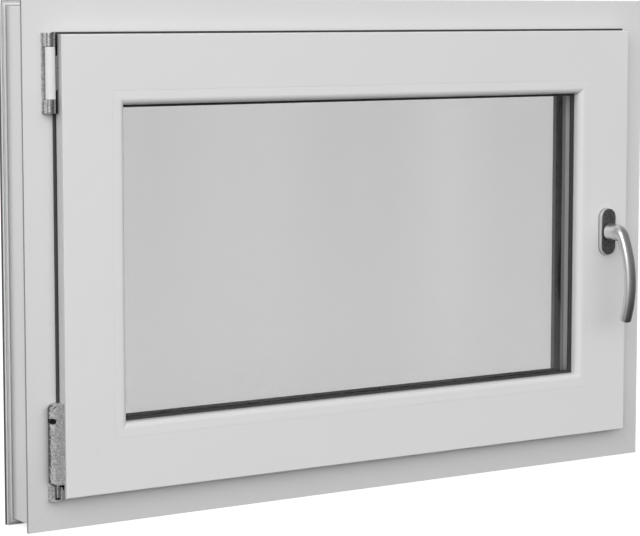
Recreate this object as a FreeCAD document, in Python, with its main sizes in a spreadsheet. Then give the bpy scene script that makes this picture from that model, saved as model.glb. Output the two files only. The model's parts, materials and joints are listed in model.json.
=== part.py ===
import FreeCAD, Part
import math
import os
import Sketcher

# Tilt and turn window, hinges left and handle right, seen from the room, closed.
# X runs to the right, Y to the outdoors and Z up. The origin is the middle of the strip
# under the sill on which the frame stands. Every outline is drawn with two distances:
# "in" from the outer edge of the frame, and "deep" from the frame's room side outwards.

doc = FreeCAD.newDocument("TiltAndTurnWindow")
sheet = doc.addObject("Spreadsheet::Sheet", "Sizes")

SIZES = {
    "window_width": 900.0,
    "window_height": 600.0,
    "frame_depth": 60.0,
    "frame_margin": 38.6,
    "frame_flange": 4.0,
    "frame_foot": 7.0,
    "edge_recess": 7.5,
    "foot_groove_start": 1.2,
    "foot_groove_width": 1.2,
    "foot_groove_depth": 3.0,
    "foot_step": 6.2,
    "foot_step_depth": 2.0,
    "outer_lip": 20.0,
    "outer_lip_flat": 4.0,
    "outer_lip_slope": 5.0,
    "sash_depth": 60.0,
    "sash_proud": 19.5,
    "sash_overlap": 8.0,
    "overlap_thickness": 15.5,
    "hardware_gap": 12.0,
    "groove_width": 16.0,
    "groove_depth": 4.0,
    "groove_start": 11.0,
    "outer_seal_thickness": 3.0,
    "seal_show": 2.4,
    "seal_width": 8.4,
    "seal_clearance": 0.4,
    "outer_seal_inset": 1.6,
    "outer_seal_width": 5.0,
    "gasket_bevel": 0.7,
    "edge_round": 1.5,
    "bead_line": 63.4,
    "bead_width": 16.7,
    "bead_depth": 13.5,
    "bead_round": 8.0,
    "glass_gap": 4.0,
    "pane_thickness": 4.0,
    "cavity": 16.0,
    "spacer_height": 6.5,
    "spacer_cover": 0.4,
    "inner_gasket": 4.0,
    "outer_gasket": 3.5,
    "gasket_height": 9.0,
    "gasket_show": 3.0,
    "glazing_flat": 12.5,
    "glazing_slope": 2.0,
    "hinge_axis_gap": 8.4,
    "hinge_axis_proud": 8.5,
    "barrel_radius": 6.0,
    "hinge_pin_radius": 3.0,
    "pin_clearance": 0.05,
    "hinge_plate": 2.5,
    "hinge_plate_side": 7.4,
    "hinge_plate_round": 1.0,
    "top_hinge_drop": 36.8,
    "top_hinge_length": 89.6,
    "hinge_lug": 15.4,
    "sleeve_clearance": 0.3,
    "arm_length": 38.0,
    "arm_thickness": 6.0,
    "corner_body_low": 54.5,
    "corner_body_length": 92.5,
    "corner_barrel_radius": 7.5,
    "corner_slope_width": 7.0,
    "corner_slope_drop": 5.5,
    "corner_foot_width": 7.5,
    "corner_foot_rise": 3.0,
    "slot_length": 4.5,
    "slot_height": 1.6,
    "slot_depth": 6.0,
    "slot_wall": 0.8,
    "adjuster_height": 128.0,
    "adjuster_radius": 3.2,
    "adjuster_side": 4.8,
    "adjuster_depth": 9.0,
    "bearing_low": 35.0,
    "bearing_floor": 2.0,
    "bearing_floor_proud": 12.0,
    "bearing_side": 13.8,
    "bearing_block_width": 5.2,
    "bearing_block_proud": 8.0,
    "bearing_clearance": 1.2,
    "bearing_post_width": 1.6,
    "bearing_post_side": 2.6,
    "bearing_post_drop": 3.5,
    "bearing_post_proud": 7.0,
    "pivot_radius": 2.0,
    "pivot_inset": 5.2,
    "handle_inset": 35.0,
    "handle_height": 302.0,
    "rosette_width": 24.8,
    "rosette_height": 61.4,
    "rosette_depth": 6.3,
    "rosette_draft": 0.8,
    "rosette_round": 0.8,
    "bearing_ring_diameter": 18.0,
    "bearing_ring_seat": 2.0,
    "bearing_ring_proud": 2.6,
    "spindle_hole": 8.0,
    "neck_clearance": 0.3,
    "neck_diameter": 23.0,
    "neck_bevel": 0.6,
    "neck_end_diameter": 21.0,
    "neck_reach": 24.0,
    "grip_width": 16.4,
    "grip_thickness": 13.9,
    "grip_end_round": 2.0,
    "elbow_radius": 13.0,
    "elbow_turn": 64.0,
    "bow_radius": 133.0,
    "bow_turn": 46.8,
    "drain_cap_width": 36.0,
    "drain_cap_height": 12.0,
    "drain_cap_plate": 1.5,
    "drain_cap_border": 2.0,
    "drain_hood_depth": 4.0,
    "drain_hood_slope": 2.5,
    "drain_mouth_wall": 1.2,
    "drain_mouth_height": 5.0,
    "drain_cap_rise": 22.0,
    "drain_cap_inset": 150.0,
}

for row, (alias, number) in enumerate(SIZES.items(), start=1):
    sheet.set("A%d" % row, alias)
    sheet.set("B%d" % row, str(number))
    sheet.setAlias("B%d" % row, alias)
doc.recompute()


class Length:
    """A size with its present value and the formula that binds it to the sheet."""

    def __init__(self, value, formula):
        self.value = value
        self.formula = formula

    def _join(self, other, sign, value, reflected=False):
        other_formula = other.formula if isinstance(other, Length) else repr(float(other))
        pair = (other_formula, self.formula) if reflected else (self.formula, other_formula)
        return Length(value, "(%s %s %s)" % (pair[0], sign, pair[1]))

    def __add__(self, other):
        return self._join(other, "+", self.value + number(other))

    def __radd__(self, other):
        return self._join(other, "+", number(other) + self.value, reflected=True)

    def __sub__(self, other):
        return self._join(other, "-", self.value - number(other))

    def __rsub__(self, other):
        return self._join(other, "-", number(other) - self.value, reflected=True)

    def __mul__(self, other):
        return self._join(other, "*", self.value * number(other))

    def __rmul__(self, other):
        return self._join(other, "*", number(other) * self.value, reflected=True)

    def __truediv__(self, other):
        return self._join(other, "/", self.value / number(other))

    def __neg__(self):
        return Length(-self.value, "(-1 * %s)" % self.formula)


def number(length):
    return length.value if isinstance(length, Length) else float(length)


def size(alias):
    return Length(SIZES[alias], "Sizes.%s" % alias)


def sine(angle):
    return Length(math.sin(math.radians(angle.value)), "sin(%s)" % angle.formula)


def cosine(angle):
    return Length(math.cos(math.radians(angle.value)), "cos(%s)" % angle.formula)


ZERO = Length(0.0, "0")

# Places that several pieces share, all worked out from the sheet.

WIDTH = size("window_width")
HEIGHT = size("window_height")
DEPTH = size("frame_depth")
ROOM_SIDE = size("frame_foot") / 2 - DEPTH
SASH_TIP = size("frame_margin")
FRAME_FACE = SASH_TIP + size("sash_overlap")
SASH_SIDE = FRAME_FACE + size("hardware_gap")
BEAD_LINE = SASH_TIP + size("bead_line")
SIGHT_LINE = BEAD_LINE + size("bead_width")
SASH_FACE = -size("sash_proud")
OVERLAP_BACK = SASH_FACE + size("overlap_thickness")
SASH_BACK = SASH_FACE + size("sash_depth")
FRAME_STOP = SASH_BACK + size("outer_seal_thickness")
LIP_EDGE = FRAME_FACE + size("outer_lip")
BEAD_BACK = SASH_FACE + size("bead_depth")
INNER_PANE = BEAD_BACK + size("inner_gasket")
CAVITY = INNER_PANE + size("pane_thickness")
OUTER_PANE = CAVITY + size("cavity")
GLASS_BACK = OUTER_PANE + size("pane_thickness")
GLAZING_STOP = GLASS_BACK + size("outer_gasket")
GLASS_EDGE = BEAD_LINE + size("glass_gap")
SPACER_EDGE = SIGHT_LINE - size("spacer_cover")
SPACER_FOOT = SPACER_EDGE - size("spacer_height")
GASKET_EDGE = SIGHT_LINE + size("gasket_show")
GASKET_FOOT = GASKET_EDGE - size("gasket_height")
HINGE_X = SASH_TIP - size("hinge_axis_gap") - WIDTH / 2
HINGE_Y = ROOM_SIDE - size("hinge_axis_proud")
HANDLE_X = WIDTH / 2 - SASH_TIP - size("handle_inset")
HANDLE_Z = size("handle_height")
SASH_FRONT_Y = ROOM_SIDE + SASH_FACE

pieces = []


def bind(item, path, length):
    item.setExpression(path, length.formula)


def place(item, x, y, z, rotation=None):
    item.Placement = FreeCAD.Placement(
        FreeCAD.Vector(number(x), number(y), number(z)), rotation or FreeCAD.Rotation()
    )
    for axis, length in (("x", x), ("y", y), ("z", z)):
        if isinstance(length, Length):
            bind(item, ".Placement.Base.%s" % axis, length)


def new_body(name):
    body = doc.addObject("PartDesign::Body", name)
    body.Label = name
    pieces.append(body)
    return body


def origin_plane(body, role):
    return next(item for item in body.Origin.OriginFeatures if item.Role == role)


def new_sketch(body, role, name, lift=None, rise=None, turn=None):
    """A sketch on a plane of its own body, lifted off it, raised in it or turned down."""
    sketch = body.newObject("Sketcher::SketchObject", name)
    sketch.AttachmentSupport = [(origin_plane(body, role), "")]
    sketch.MapMode = "FlatFace"
    if turn is not None:
        tilt = FreeCAD.Rotation(FreeCAD.Vector(1, 0, 0), turn.value)
        sketch.AttachmentOffset = FreeCAD.Placement(FreeCAD.Vector(), tilt)
        bind(sketch, ".AttachmentOffset.Rotation.Angle", turn)
    for path, length in (("z", lift), ("y", rise)):
        if length is not None:
            bind(sketch, ".AttachmentOffset.Base.%s" % path, length)
    return sketch


def pin_point(sketch, geometry, position, across, up):
    """Hold one point of the sketch at two bound distances from the sketch's origin."""
    for kind, length, axis in (("DistanceX", across, -2), ("DistanceY", up, -1)):
        if length.formula == "0":
            rule = Sketcher.Constraint("PointOnObject", geometry, position, axis)
            sketch.addConstraint(rule)
        else:
            rule = Sketcher.Constraint(kind, -1, 1, geometry, position, length.value)
            index = sketch.addConstraint(rule)
            sketch.setExpression("Constraints[%d]" % index, length.formula)


def draw_outline(sketch, corners):
    """Draw a closed outline of straight lines through the corners."""
    points = [FreeCAD.Vector(across.value, up.value, 0) for across, up in corners]
    first = sketch.GeometryCount
    count = len(corners)
    for index in range(count):
        line = Part.LineSegment(points[index], points[(index + 1) % count])
        sketch.addGeometry(line, False)
    for index in range(count):
        following = first + (index + 1) % count
        sketch.addConstraint(Sketcher.Constraint("Coincident", first + index, 2, following, 1))
    for index, (across, up) in enumerate(corners):
        pin_point(sketch, first + index, 1, across, up)


def draw_circle(sketch, across, up, radius):
    centre = FreeCAD.Vector(across.value, up.value, 0)
    circle = Part.Circle(centre, FreeCAD.Vector(0, 0, 1), radius.value)
    index = sketch.addGeometry(circle, False)
    pin_point(sketch, index, 3, across, up)
    rule = sketch.addConstraint(Sketcher.Constraint("Radius", index, radius.value))
    sketch.setExpression("Constraints[%d]" % rule, radius.formula)


def draw_ellipse(sketch, width, height):
    """An ellipse round the sketch's origin, wider than high."""
    ellipse = Part.Ellipse(FreeCAD.Vector(), width.value / 2, height.value / 2)
    index = sketch.addGeometry(ellipse, False)
    sketch.exposeInternalGeometry(index)
    sketch.addConstraint(Sketcher.Constraint("Coincident", index, 3, -1, 1))
    sketch.addConstraint(Sketcher.Constraint("Horizontal", index + 1))
    for line, length in ((index + 1, width), (index + 2, height)):
        rule = sketch.addConstraint(Sketcher.Constraint("Distance", line, length.value))
        sketch.setExpression("Constraints[%d]" % rule, length.formula)


def pad(body, sketch, length, both_ways=False, backwards=False):
    feature = body.newObject("PartDesign::Pad", sketch.Name + "_pad")
    feature.Profile = sketch
    bind(feature, "Length", length)
    feature.Midplane = both_ways
    feature.Reversed = backwards
    sketch.Visibility = False
    return feature


def pocket(body, sketch, length=None, backwards=False):
    """Cut the sketch through the whole piece, or to a depth on one side."""
    feature = body.newObject("PartDesign::Pocket", sketch.Name + "_cut")
    feature.Profile = sketch
    if length is None:
        feature.Type = "ThroughAll"
        feature.Midplane = True
    else:
        bind(feature, "Length", length)
        feature.Reversed = backwards
    return feature


def edges_along(shape, axis, corners):
    """Name the straight edges along one axis that run through the given corners."""
    across, up = [name for name in "xyz" if name != axis]
    names = []
    for index, edge in enumerate(shape.Edges, start=1):
        ends = [vertex.Point for vertex in edge.Vertexes]
        if len(ends) != 2 or abs(getattr(ends[0], axis) - getattr(ends[1], axis)) < SHORTEST:
            continue
        for one, other in corners:
            misses = [abs(getattr(end, across) - one.value) for end in ends]
            misses += [abs(getattr(end, up) - other.value) for end in ends]
            if max(misses) < NEARLY:
                names.append("Edge%d" % index)
    return names


def soften(body, base, kind, edges, length):
    """Round or bevel the named edges of the last feature."""
    feature = body.newObject("PartDesign::" + kind, base.Name + "_" + kind.lower())
    feature.Base = (base, edges)
    path = "Radius" if kind == "Fillet" else "Size"
    setattr(feature, path, length.value)
    bind(feature, path, length)
    return feature


def round_edges(body, base, corners, radius, axis="x"):
    doc.recompute()
    return soften(body, base, "Fillet", edges_along(base.Shape, axis, corners), radius)


SHORTEST = 1.0
NEARLY = 0.01


def mitred_bar(name, outline, length, reach, roundings):
    """A bar along X with the outline in (deep, in) and both ends cut at 45 degrees."""
    body = new_body(name)
    profile = new_sketch(body, "YZ_Plane", name + "_profile")
    draw_outline(profile, outline)
    feature = pad(body, profile, length, both_ways=True)
    for corners, radius in roundings:
        feature = round_edges(body, feature, corners, radius)
    mitres = new_sketch(body, "XZ_Plane", name + "_mitres")
    end = length / 2 + OVERRUN
    for side in (1, -1):
        waste = [
            (side * end, -OVERRUN),
            (side * end, reach),
            (side * (length / 2 - reach), reach),
        ]
        draw_outline(mitres, waste)
    pocket(body, mitres)
    return body


OVERRUN = Length(1.0, "1.0")

TURN = {
    "bottom": 0,
    "left": 90,
    "top": 180,
    "right": 270,
}


def four_sides(names, outline, reach, roundings=()):
    """Four mitred bars round the window, all with one outline."""
    places = {
        "bottom": (ZERO, ZERO, WIDTH),
        "left": (-WIDTH / 2, HEIGHT / 2, HEIGHT),
        "top": (ZERO, HEIGHT, WIDTH),
        "right": (WIDTH / 2, HEIGHT / 2, HEIGHT),
    }
    for side, name in names.items():
        across, up, length = places[side]
        body = mitred_bar(name, outline, length, reach, roundings)
        turn = FreeCAD.Rotation(FreeCAD.Vector(0, 1, 0), TURN[side])
        place(body, across, ROOM_SIDE, up, turn)


def ring(name, outer, inner, front, thickness, bevel=None):
    """A flat rectangular ring between two distances from the edge of the frame."""
    body = new_body(name)
    sketch = new_sketch(body, "XZ_Plane", name + "_outline")
    for edge in (outer, inner):
        corners = [
            (-(WIDTH / 2 - edge), edge),
            (WIDTH / 2 - edge, edge),
            (WIDTH / 2 - edge, HEIGHT - edge),
            (-(WIDTH / 2 - edge), HEIGHT - edge),
        ]
        draw_outline(sketch, corners)
    feature = pad(body, sketch, thickness, backwards=True)
    if bevel is not None:
        across, deep = bevel
        doc.recompute()
        edges = edges_along(feature.Shape, "x", [(deep, across), (deep, HEIGHT - across)])
        sides = [(WIDTH / 2 - across, deep), (across - WIDTH / 2, deep)]
        edges += edges_along(feature.Shape, "z", sides)
        soften(body, feature, "Chamfer", edges, size("gasket_bevel"))
    place(body, ZERO, ROOM_SIDE + front, ZERO)
    return body


def pane(name, front):
    glass = doc.addObject("Part::Box", name)
    glass.Label = name
    bind(glass, "Length", WIDTH - GLASS_EDGE * 2)
    bind(glass, "Width", size("pane_thickness"))
    bind(glass, "Height", HEIGHT - GLASS_EDGE * 2)
    place(glass, GLASS_EDGE - WIDTH / 2, ROOM_SIDE + front, GLASS_EDGE)
    pieces.append(glass)


# Fixed frame: a front flange, a recessed outer edge, a foot strip at the back with a groove
# for add-on profiles, and an outer lip that the closed sash seals against.

FOOT_START = DEPTH - size("frame_foot")
GROOVE_TOP = size("foot_groove_start") + size("foot_groove_width")
frame_outline = [
    (ZERO, ZERO),
    (ZERO, FRAME_FACE),
    (FRAME_STOP, FRAME_FACE),
    (FRAME_STOP, LIP_EDGE),
    (FRAME_STOP + size("outer_lip_flat"), LIP_EDGE),
    (DEPTH, LIP_EDGE - size("outer_lip_slope")),
    (DEPTH, ZERO),
    (FOOT_START, ZERO),
    (FOOT_START, size("foot_groove_start")),
    (FOOT_START + size("foot_groove_depth"), size("foot_groove_start")),
    (FOOT_START + size("foot_groove_depth"), GROOVE_TOP),
    (FOOT_START, GROOVE_TOP),
    (FOOT_START, size("foot_step")),
    (FOOT_START + size("foot_step_depth"), size("foot_step")),
    (FOOT_START + size("foot_step_depth"), size("edge_recess")),
    (size("frame_flange"), size("edge_recess")),
    (size("frame_flange"), ZERO),
]
four_sides(
    {
        "bottom": "frame_sill",
        "left": "frame_left_jamb",
        "top": "frame_head",
        "right": "frame_right_jamb",
    },
    frame_outline,
    LIP_EDGE + OVERRUN,
)

# Sash: an overlap in front of the frame, a side with a hardware groove, a glazing rebate
# open to the room, and a sloped glazing edge outdoors.

GROOVE_END = size("groove_start") + size("groove_width")
GROOVE_FLOOR = SASH_SIDE + size("groove_depth")
sash_outline = [
    (SASH_FACE, SASH_TIP),
    (SASH_FACE, BEAD_LINE),
    (GLAZING_STOP, BEAD_LINE),
    (GLAZING_STOP, SIGHT_LINE),
    (GLAZING_STOP + size("glazing_flat"), SIGHT_LINE),
    (SASH_BACK, SIGHT_LINE - size("glazing_slope")),
    (SASH_BACK, SASH_SIDE),
    (GROOVE_END, SASH_SIDE),
    (GROOVE_END, GROOVE_FLOOR),
    (size("groove_start"), GROOVE_FLOOR),
    (size("groove_start"), SASH_SIDE),
    (OVERLAP_BACK, SASH_SIDE),
    (OVERLAP_BACK, SASH_TIP),
]
four_sides(
    {
        "bottom": "sash_bottom_rail",
        "left": "sash_hinge_stile",
        "top": "sash_top_rail",
        "right": "sash_lock_stile",
    },
    sash_outline,
    SIGHT_LINE + OVERRUN,
    [([(SASH_FACE, SASH_TIP), (OVERLAP_BACK, SASH_TIP)], size("edge_round"))],
)

# Glazing beads: flush with the sash, rounded over towards the glass.

bead_outline = [
    (SASH_FACE, BEAD_LINE),
    (SASH_FACE, SIGHT_LINE),
    (BEAD_BACK, SIGHT_LINE),
    (BEAD_BACK, BEAD_LINE),
]
four_sides(
    {
        "bottom": "bottom_glazing_bead",
        "left": "left_glazing_bead",
        "top": "top_glazing_bead",
        "right": "right_glazing_bead",
    },
    bead_outline,
    SIGHT_LINE + OVERRUN,
    [([(SASH_FACE, SIGHT_LINE)], size("bead_round"))],
)

# Double glazing between its gaskets, and the two seals of the sash.

pane("inner_pane", INNER_PANE)
pane("outer_pane", OUTER_PANE)
ring("glass_spacer", SPACER_FOOT, SPACER_EDGE, CAVITY, size("cavity"))
ring("glass_edge_sealant", GLASS_EDGE, SPACER_FOOT, CAVITY, size("cavity"))
ring(
    "inner_glazing_gasket",
    GASKET_FOOT,
    GASKET_EDGE,
    BEAD_BACK,
    size("inner_gasket"),
    bevel=(GASKET_EDGE, ZERO),
)
ring(
    "outer_glazing_gasket",
    GASKET_FOOT,
    GASKET_EDGE,
    GLASS_BACK,
    size("outer_gasket"),
    bevel=(GASKET_EDGE, size("outer_gasket")),
)
SEAL_EDGE = SASH_TIP - size("seal_show")
ring("sash_seal", SEAL_EDGE, SEAL_EDGE + size("seal_width"), OVERLAP_BACK, -OVERLAP_BACK)
OUTER_SEAL_EDGE = LIP_EDGE - size("outer_seal_inset")
ring(
    "frame_seal",
    OUTER_SEAL_EDGE - size("outer_seal_width"),
    OUTER_SEAL_EDGE,
    SASH_BACK,
    size("outer_seal_thickness"),
)

# Top hinge: a plate with two barrel lugs on the frame, a pin through both, a sleeve on
# the pin between them, and an arm that runs from the sleeve in behind the sash.

HINGE_LOW = HEIGHT - size("top_hinge_drop") - size("top_hinge_length")
SLEEVE_LENGTH = size("top_hinge_length") - size("hinge_lug") * 2
PLATE_FRONT = size("hinge_axis_proud") - size("hinge_plate")
PIN_BORE = size("hinge_pin_radius") + size("pin_clearance")

bracket = new_body("top_hinge_bracket")
plate = new_sketch(bracket, "XY_Plane", "hinge_plate_outline")
draw_outline(
    plate,
    [
        (-size("hinge_plate_side"), PLATE_FRONT),
        (size("barrel_radius"), PLATE_FRONT),
        (size("barrel_radius"), size("hinge_axis_proud")),
        (-size("hinge_plate_side"), size("hinge_axis_proud")),
    ],
)
plate_pad = pad(bracket, plate, size("top_hinge_length"))
plate_corner = (-size("hinge_plate_side"), PLATE_FRONT)
round_edges(bracket, plate_pad, [plate_corner], size("hinge_plate_round"), "z")
lugs = new_sketch(bracket, "XY_Plane", "hinge_lug_outline")
draw_outline(
    lugs,
    [
        (-size("barrel_radius"), ZERO),
        (size("barrel_radius"), ZERO),
        (size("barrel_radius"), PLATE_FRONT),
        (-size("barrel_radius"), PLATE_FRONT),
    ],
)
pad(bracket, lugs, size("top_hinge_length"))
barrels = new_sketch(bracket, "XY_Plane", "hinge_barrel_outline")
draw_circle(barrels, ZERO, ZERO, size("barrel_radius"))
pad(bracket, barrels, size("top_hinge_length"))
sleeve_space = new_sketch(bracket, "YZ_Plane", "hinge_sleeve_space")
draw_outline(
    sleeve_space,
    [
        (-size("barrel_radius") * 2, size("hinge_lug")),
        (PLATE_FRONT, size("hinge_lug")),
        (PLATE_FRONT, size("hinge_lug") + SLEEVE_LENGTH),
        (-size("barrel_radius") * 2, size("hinge_lug") + SLEEVE_LENGTH),
    ],
)
pocket(bracket, sleeve_space)
pin_hole = new_sketch(bracket, "XY_Plane", "hinge_pin_hole")
draw_circle(pin_hole, ZERO, ZERO, PIN_BORE)
pocket(bracket, pin_hole)
place(bracket, HINGE_X, HINGE_Y, HINGE_LOW)

hinge_pin = doc.addObject("Part::Cylinder", "top_hinge_pin")
hinge_pin.Label = "top_hinge_pin"
bind(hinge_pin, "Radius", size("hinge_pin_radius"))
bind(hinge_pin, "Height", size("top_hinge_length"))
place(hinge_pin, HINGE_X, HINGE_Y, HINGE_LOW)
pieces.append(hinge_pin)

sleeve = new_body("top_hinge_sleeve")
SLEEVE_RADIUS = size("barrel_radius") - size("sleeve_clearance")
sleeve_outline = new_sketch(sleeve, "XY_Plane", "sleeve_outline")
draw_circle(sleeve_outline, ZERO, ZERO, SLEEVE_RADIUS)
draw_circle(sleeve_outline, ZERO, ZERO, PIN_BORE)
pad(sleeve, sleeve_outline, SLEEVE_LENGTH - size("sleeve_clearance") * 2)
SLEEVE_LOW = HINGE_LOW + size("hinge_lug") + size("sleeve_clearance")
place(sleeve, HINGE_X, HINGE_Y, SLEEVE_LOW)

arm = doc.addObject("Part::Box", "top_hinge_arm")
arm.Label = "top_hinge_arm"
bind(arm, "Length", size("hinge_axis_gap") - SLEEVE_RADIUS)
bind(arm, "Width", size("arm_thickness"))
bind(arm, "Height", size("arm_length"))
place(
    arm,
    HINGE_X + SLEEVE_RADIUS,
    HINGE_Y - size("arm_thickness") / 2,
    HINGE_LOW + size("top_hinge_length") / 2 - size("arm_length") / 2,
)
pieces.append(arm)

# Corner hinge: a cast body on the edge of the sash, half round towards the frame, with a
# sloping shoulder, a key slot and an adjuster hole. It stands on the pivot of a bearing
# bracket at the bottom corner of the frame, whose block follows the slope of its foot.
# Both leave room for the seal that shows beside the sash.

TIP_X = SASH_TIP - WIDTH / 2
BARREL_SIDE = size("hinge_axis_gap") + size("corner_barrel_radius")
BARREL_FRONT = size("hinge_axis_proud") + size("corner_barrel_radius")
BARREL_BACK = size("hinge_axis_proud") - size("corner_barrel_radius")
SEAL_SIDE = size("seal_show") + size("seal_clearance")
SEAL_FRONT = size("seal_clearance") - OVERLAP_BACK


def draw_corner_section(sketch):
    """The section of the cast body: half a circle, drawn out to the edge of the sash."""
    gap = size("hinge_axis_gap")
    radius = size("corner_barrel_radius")
    centre = FreeCAD.Vector(-gap.value, -size("hinge_axis_proud").value, 0)
    circle = Part.Circle(centre, FreeCAD.Vector(0, 0, 1), radius.value)
    half_round = Part.ArcOfCircle(circle, math.pi / 2, math.pi * 3 / 2)
    corners = [
        (-gap, -BARREL_FRONT),
        (ZERO, -BARREL_FRONT),
        (ZERO, -SEAL_FRONT),
        (-SEAL_SIDE, -SEAL_FRONT),
        (-SEAL_SIDE, -BARREL_BACK),
        (-gap, -BARREL_BACK),
    ]
    points = [FreeCAD.Vector(across.value, deep.value, 0) for across, deep in corners]
    lines = [Part.LineSegment(one, other) for one, other in zip(points, points[1:])]
    sketch.addGeometry([half_round] + lines, False)
    last = len(lines)
    for index in range(1, last):
        sketch.addConstraint(Sketcher.Constraint("Coincident", index, 2, index + 1, 1))
    sketch.addConstraint(Sketcher.Constraint("Coincident", 0, 2, 1, 1))
    sketch.addConstraint(Sketcher.Constraint("Coincident", last, 2, 0, 1))
    pin_point(sketch, 0, 3, -gap, -size("hinge_axis_proud"))
    for index, corner in enumerate(corners[:-1], start=1):
        pin_point(sketch, index, 1, *corner)
    sketch.addConstraint(Sketcher.Constraint("Vertical", 0, 3, 0, 1))


corner_body = new_body("corner_hinge_body")
section = new_sketch(corner_body, "XY_Plane", "corner_body_section")
draw_corner_section(section)
pad(corner_body, section, size("corner_body_length"))
SHOULDER_X = size("corner_slope_width") - BARREL_SIDE
SHOULDER_Z = size("corner_body_length") - size("corner_slope_drop")
ends = new_sketch(corner_body, "XZ_Plane", "corner_body_ends")
draw_outline(
    ends,
    [
        (-BARREL_SIDE, SHOULDER_Z),
        (SHOULDER_X, size("corner_body_length")),
        (-BARREL_SIDE, size("corner_body_length") + OVERRUN),
        (-BARREL_SIDE - OVERRUN, SHOULDER_Z),
    ],
)
draw_outline(
    ends,
    [
        (-BARREL_SIDE, size("corner_foot_rise")),
        (-BARREL_SIDE - OVERRUN, ZERO),
        (-BARREL_SIDE, -OVERRUN),
        (size("corner_foot_width") - BARREL_SIDE, ZERO),
    ],
)
pocket(corner_body, ends)
SLOPE = size("corner_slope_drop") / size("corner_slope_width")
SLOT_X = SHOULDER_X - size("slot_length")
SLOT_Z = size("corner_body_length") - size("slot_wall")
SLOT_FALL = size("slot_length") * SLOPE
key_slot = new_sketch(corner_body, "XZ_Plane", "corner_key_slot", BARREL_FRONT)
draw_outline(
    key_slot,
    [
        (SHOULDER_X, SLOT_Z),
        (SLOT_X, SLOT_Z - SLOT_FALL),
        (SLOT_X, SLOT_Z - SLOT_FALL - size("slot_height")),
        (SHOULDER_X, SLOT_Z - size("slot_height")),
    ],
)
pocket(corner_body, key_slot, size("slot_depth"))
adjuster = new_sketch(corner_body, "XZ_Plane", "corner_adjuster_hole", BARREL_FRONT)
ADJUSTER_X = -size("hinge_axis_gap") - size("adjuster_side")
ADJUSTER_Z = size("adjuster_height") - size("corner_body_low")
draw_circle(adjuster, ADJUSTER_X, ADJUSTER_Z, size("adjuster_radius"))
pocket(corner_body, adjuster, size("adjuster_depth"))
place(corner_body, TIP_X, ROOM_SIDE, size("corner_body_low"))

bearing = new_body("corner_bearing_bracket")
POST_RIGHT = size("bearing_post_width") - size("bearing_post_side")
floor = new_sketch(bearing, "XY_Plane", "bearing_floor_outline")
draw_outline(
    floor,
    [
        (-size("bearing_side"), ZERO),
        (-size("bearing_side"), -size("bearing_block_proud")),
        (-size("bearing_side") + size("bearing_block_width"), -size("bearing_floor_proud")),
        (POST_RIGHT, -size("bearing_floor_proud")),
        (POST_RIGHT, -SEAL_FRONT),
        (-SEAL_SIDE, -SEAL_FRONT),
        (-SEAL_SIDE, ZERO),
    ],
)
pad(bearing, floor, size("bearing_floor"))


def under_foot(side):
    """Height of the block's top at a distance to the left of the sash's edge."""
    slope = size("corner_foot_rise") / size("corner_foot_width")
    foot = size("corner_body_low") - size("bearing_low")
    return foot - size("bearing_clearance") + (side - size("hinge_axis_gap")) * slope


block = new_sketch(bearing, "XZ_Plane", "bearing_block_outline")
BLOCK_RIGHT = size("bearing_side") - size("bearing_block_width")
draw_outline(
    block,
    [
        (-size("bearing_side"), ZERO),
        (-BLOCK_RIGHT, ZERO),
        (-BLOCK_RIGHT, under_foot(BLOCK_RIGHT)),
        (-size("bearing_side"), under_foot(size("bearing_side"))),
    ],
)
pad(bearing, block, size("bearing_block_proud"))
post = new_sketch(bearing, "XY_Plane", "bearing_post_outline")
POST_BACK = size("bearing_post_proud") - size("bearing_floor_proud")
draw_outline(
    post,
    [
        (-size("bearing_post_side"), POST_BACK),
        (-size("bearing_post_side"), -size("bearing_floor_proud")),
        (POST_RIGHT, -size("bearing_floor_proud")),
        (POST_RIGHT, POST_BACK),
    ],
)
pad(bearing, post, size("corner_body_low") - size("bearing_low") - size("bearing_post_drop"))
place(bearing, TIP_X, ROOM_SIDE, size("bearing_low"))

pivot = doc.addObject("Part::Cylinder", "corner_pivot_pin")
pivot.Label = "corner_pivot_pin"
PIVOT_LOW = size("bearing_low") + size("bearing_floor")
bind(pivot, "Radius", size("pivot_radius"))
bind(pivot, "Height", size("corner_body_low") - PIVOT_LOW)
place(pivot, TIP_X - size("pivot_inset"), HINGE_Y, PIVOT_LOW)
pieces.append(pivot)

# Handle: an oval rosette on the lock stile with a bearing ring seated in its face, and a
# lever that turns on the ring. The lever is a tapered neck, an elbow that changes from the
# neck's round section to the flatter one of the grip, and one long bow down to the end.


def draw_oval(sketch, width, height):
    """Two straight sides joined by half circles, centred on the sketch's origin."""
    radius = width / 2
    rise = (height - width) / 2
    halves = []
    for centre, start in ((rise, 0.0), (-rise, math.pi)):
        middle = FreeCAD.Vector(0, centre.value, 0)
        circle = Part.Circle(middle, FreeCAD.Vector(0, 0, 1), radius.value)
        halves.append(Part.ArcOfCircle(circle, start, start + math.pi))
    left, right = [
        Part.LineSegment(
            FreeCAD.Vector(side * radius.value, side * -rise.value, 0),
            FreeCAD.Vector(side * radius.value, side * rise.value, 0),
        )
        for side in (-1, 1)
    ]
    sketch.addGeometry([halves[0], left, halves[1], right], False)
    for one in range(4):
        sketch.addConstraint(Sketcher.Constraint("Tangent", one, 2, (one + 1) % 4, 1))
    pin_point(sketch, 0, 3, ZERO, rise)
    pin_point(sketch, 2, 3, ZERO, -rise)
    rule = sketch.addConstraint(Sketcher.Constraint("Radius", 0, radius.value))
    sketch.setExpression("Constraints[%d]" % rule, radius.formula)


def loft(body, first, last):
    feature = body.newObject("PartDesign::AdditiveLoft", first.Name + "_loft")
    feature.Profile = first
    feature.Sections = [last]
    return feature


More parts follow.
